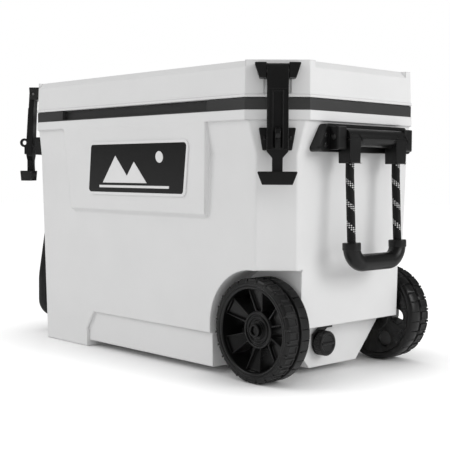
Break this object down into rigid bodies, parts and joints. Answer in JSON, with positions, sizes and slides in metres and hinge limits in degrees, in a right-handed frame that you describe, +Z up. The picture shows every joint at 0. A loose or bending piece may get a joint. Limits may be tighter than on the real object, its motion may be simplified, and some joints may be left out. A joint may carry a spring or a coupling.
{
  "type": "cooler on wheels",
  "caption": "Hard-sided wheeled cooler with a hinged lid, corner strap latches, swinging rope carry handles, a tow handle and a drain.",
  "frame": {"origin": "on the floor under the middle of the tub", "axes": "+X along the length towards the wheels, -Y is the badge side, +Z up"},
  "size_m": [0.737, 0.3935, 0.4601],
  "materials": {
    "white_shell": "fine textured white",
    "white_liner": "smooth white",
    "foam": "closed-cell insulation",
    "grey_band": "satin dark grey",
    "badge_white": "satin white",
    "badge_black": "satin black",
    "seal_rubber": "matte",
    "strap_rubber": "matte moulded rubber",
    "steel": "plain",
    "screw_black": "black oxide",
    "tyre_black": "matte tread",
    "wheel_black": "moulded black",
    "rope": "braided with white flecks",
    "grip_black": "soft grip",
    "frame_black": "powder coat",
    "black_plastic": "fine textured black"
  },
  "bodies": {
    "tub": {"body_shell": "white_shell", "body_liner": "white_liner", "body_foam": "foam", "rim_band": "grey_band", "badge_plate": "badge_white", "badge_field": "badge_black", "badge_mark": "badge_white", "drain_spout": "black_plastic", "drain_seal": "seal_rubber", "drain_tether": "strap_rubber", "axle": "screw_black", "axle_bushes": "black_plastic", "axle_washers": "screw_black", "axle_push_nuts": "screw_black", "latch_keeper_right": "black_plastic", "latch_keeper_left": "black_plastic", "handle_right_bracket": "black_plastic", "handle_left_bracket": "black_plastic", "handle_right_rod": "steel", "handle_left_rod": "steel", "handle_screws": "screw_black", "hinge_right_tub_leaf": "black_plastic", "hinge_left_tub_leaf": "black_plastic", "hinge_right_pin": "steel", "hinge_left_pin": "steel", "hinge_tub_screws": "screw_black", "tow_brackets": "black_plastic", "tow_pins": "steel"},
    "lid": {"lid_shell": "white_shell", "lid_liner": "white_liner", "lid_foam": "foam", "lid_gasket": "seal_rubber", "latch_mount_right": "black_plastic", "latch_mount_left": "black_plastic", "latch_pin_right": "steel", "latch_pin_left": "steel", "hinge_right_lid_leaf": "black_plastic", "hinge_left_lid_leaf": "black_plastic", "hinge_lid_screws": "screw_black"},
    "latch_right": {"latch_strap_right": "strap_rubber"},
    "latch_left": {"latch_strap_left": "strap_rubber"},
    "handle_right": {"handle_right_yoke": "black_plastic", "handle_right_rope": "rope", "handle_right_grip": "grip_black"},
    "handle_left": {"handle_left_yoke": "black_plastic", "handle_left_rope": "rope", "handle_left_grip": "grip_black"},
    "tow_handle": {"tow_frame": "frame_black", "tow_grip": "grip_black"},
    "wheel_front": {"wheel_front_core": "wheel_black", "wheel_front_tyre": "tyre_black"},
    "wheel_back": {"wheel_back_core": "wheel_black", "wheel_back_tyre": "tyre_black"},
    "drain_cap": {"drain_cap": "black_plastic"}
  },
  "joints": [
    {"name": "lid_open", "type": "hinge", "parent": "tub", "child": "lid", "pos_m": [0, 0.1915, 0.4076], "axis": [-1, 0, 0], "range_deg": [0, 95]},
    {"name": "latch_right_swing", "type": "hinge", "parent": "lid", "child": "latch_right", "pos_m": [0.30668, -0.15918, 0.4431], "axis": [-0.7071, -0.7071, 0], "range_deg": [0, 110]},
    {"name": "latch_left_swing", "type": "hinge", "parent": "lid", "child": "latch_left", "pos_m": [-0.30668, -0.15918, 0.4431], "axis": [-0.7071, 0.7071, 0], "range_deg": [0, 110]},
    {"name": "handle_right_swing", "type": "hinge", "parent": "tub", "child": "handle_right", "pos_m": [0.347, 0, 0.3535], "axis": [0, -1, 0], "range_deg": [0, 110]},
    {"name": "handle_left_swing", "type": "hinge", "parent": "tub", "child": "handle_left", "pos_m": [-0.347, 0, 0.3535], "axis": [0, 1, 0], "range_deg": [0, 110]},
    {"name": "tow_handle_swing", "type": "hinge", "parent": "tub", "child": "tow_handle", "pos_m": [-0.343, 0, 0.2955], "axis": [0, 1, 0], "range_deg": [0, 100]},
    {"name": "wheel_front_spin", "type": "hinge", "parent": "tub", "child": "wheel_front", "pos_m": [0.262, -0.142, 0.076], "axis": [0, 1, 0], "continuous": true},
    {"name": "wheel_back_spin", "type": "hinge", "parent": "tub", "child": "wheel_back", "pos_m": [0.262, 0.142, 0.076], "axis": [0, 1, 0], "continuous": true},
    {"name": "drain_cap_turn", "type": "hinge", "parent": "tub", "child": "drain_cap", "pos_m": [0.285, -0.033, 0.047], "axis": [1, 0, 0], "range_deg": [0, 90]}
  ]
}
